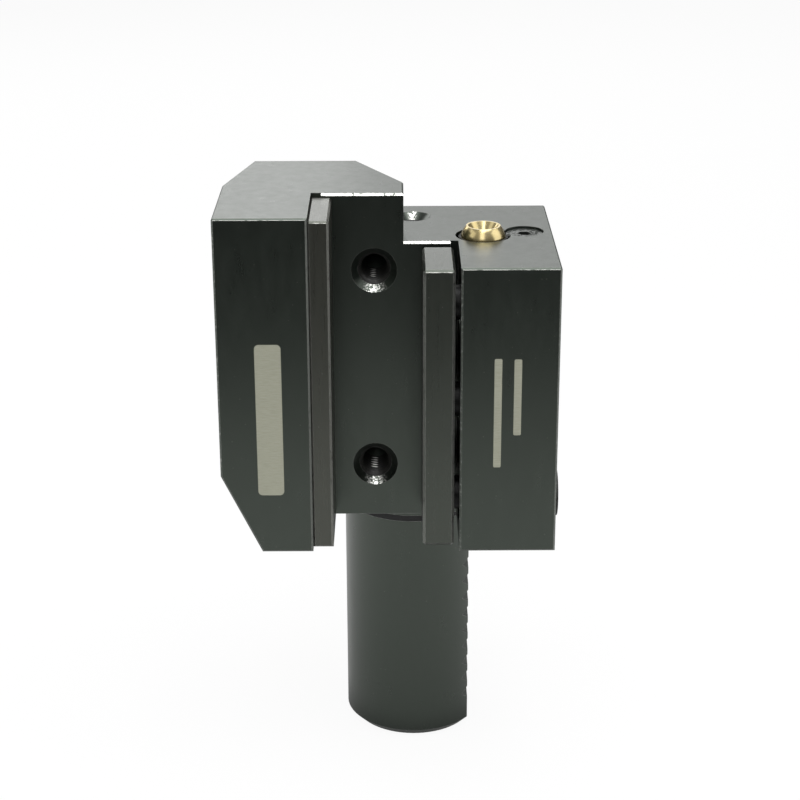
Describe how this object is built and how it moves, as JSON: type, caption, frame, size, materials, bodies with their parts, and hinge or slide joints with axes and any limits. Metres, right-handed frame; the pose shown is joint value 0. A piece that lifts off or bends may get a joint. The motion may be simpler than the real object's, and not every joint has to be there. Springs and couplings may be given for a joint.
{
  "type": "vdi tool holder",
  "caption": "Axial turning tool holder with a toothed round shank, an open tool channel between two bars, clamping screws and a swivelling ball coolant nozzle.",
  "frame": {"origin": "centre of the flange's contact face, on the shank's axis", "axes": "+Z along the tool channel, away from the shank; -Y out of the channel's open front; +X towards the clamping screws and the shank's teeth"},
  "size_m": [0.0682, 0.0695, 0.125],
  "materials": {
    "black_steel": "blackened, fine ground, satin",
    "bar_steel": "blackened hardened steel, ground, satin",
    "ring_steel": "dull blackened steel",
    "screw_steel": "black oxide",
    "brass": "turned, bright",
    "rubber": "matte"
  },
  "bodies": {
    "root": {"holder_body": "black_steel", "support_bar": "bar_steel", "support_bar_screw_lower": "screw_steel", "support_bar_screw_upper": "screw_steel", "nozzle_retaining_ring": "ring_steel", "nozzle_seal": "rubber", "ring_screw": "ring_steel", "duct_plug": "screw_steel", "shank_seal": "rubber"},
    "clamp": {"clamping_bar": "bar_steel"},
    "lower_screw": {"clamping_screw_lower": "screw_steel"},
    "middle_screw": {"clamping_screw_middle": "screw_steel"},
    "upper_screw": {"clamping_screw_upper": "screw_steel"},
    "nozzle": {"coolant_nozzle": "brass"}
  },
  "joints": [
    {"name": "clamp_slide", "type": "slide", "parent": "root", "child": "clamp", "axis": [1, 0, 0], "range_m": [-0.0021, 0.001]},
    {"name": "lower_screw_turn", "type": "hinge", "parent": "clamp", "child": "lower_screw", "pos_m": [0.0185, -0.0258, 0.0095], "axis": [1, 0, 0], "range_deg": [-433, 207]},
    {"name": "middle_screw_turn", "type": "hinge", "parent": "clamp", "child": "middle_screw", "pos_m": [0.0185, -0.0258, 0.03], "axis": [1, 0, 0], "range_deg": [-433, 207]},
    {"name": "upper_screw_turn", "type": "hinge", "parent": "clamp", "child": "upper_screw", "pos_m": [0.0185, -0.0258, 0.0505], "axis": [1, 0, 0], "range_deg": [-433, 207]},
    {"name": "nozzle_swivel", "type": "hinge", "parent": "root", "child": "nozzle", "pos_m": [0.0142, -0.0107, 0.059], "axis": [0, 1, 0], "range_deg": [-15, 15]}
  ],
  "couplings": [
    {"joint": "lower_screw_turn", "follows": "clamp_slide", "rad_per_m": 3590.4},
    {"joint": "middle_screw_turn", "follows": "clamp_slide", "rad_per_m": 3590.4},
    {"joint": "upper_screw_turn", "follows": "clamp_slide", "rad_per_m": 3590.4}
  ]
}
